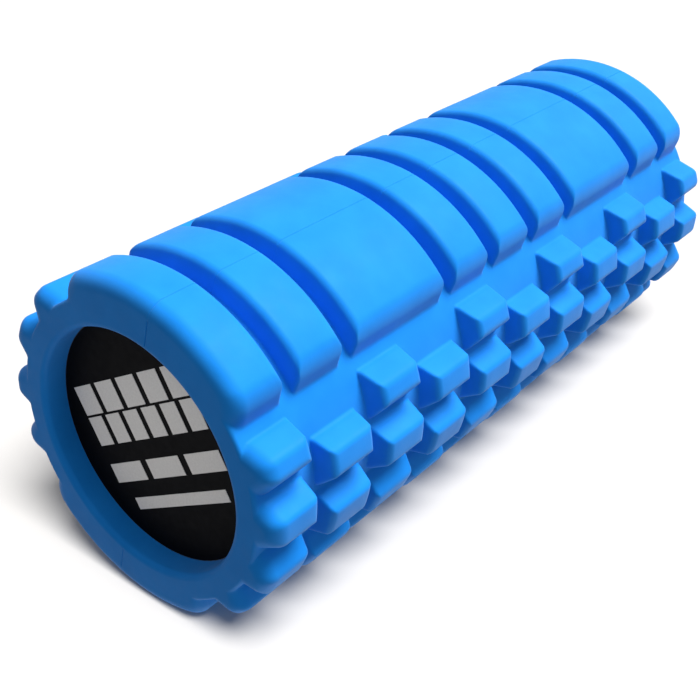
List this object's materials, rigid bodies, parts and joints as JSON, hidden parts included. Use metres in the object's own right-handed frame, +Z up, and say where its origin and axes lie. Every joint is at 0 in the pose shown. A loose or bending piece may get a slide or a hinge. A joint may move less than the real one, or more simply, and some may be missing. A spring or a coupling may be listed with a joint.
{
  "type": "foam roller",
  "caption": "Textured foam massage roller: a moulded foam sleeve with ribs and bumps over a solid foam core, with a printed disc recessed in each end.",
  "frame": {"origin": "on the floor, under the middle of the roller: the centre of the box's lowest face", "axes": "+X along the roller's axis towards its right end, +Z up, so seen from the -Y side the left end is on the left; the upper parting line leans 14.5 degrees from the top towards -Y, as the roller lies"},
  "size_m": [0.33, 0.138, 0.138],
  "materials": {
    "sleeve_foam": "moulded EVA foam skin, satin matte",
    "core_foam": "dense closed-cell EVA foam, matte",
    "disc": "smooth sheet, matte",
    "glue": "thin film of contact adhesive",
    "ink": "screen-printed ink, matte"
  },
  "bodies": {
    "root": {"foam_sleeve": "sleeve_foam", "core": "core_foam", "core_bond": "glue", "left_end_disc": "disc", "right_end_disc": "disc", "left_disc_bond": "glue", "right_disc_bond": "glue", "left_print": "ink", "right_print": "ink"}
  },
  "joints": []
}
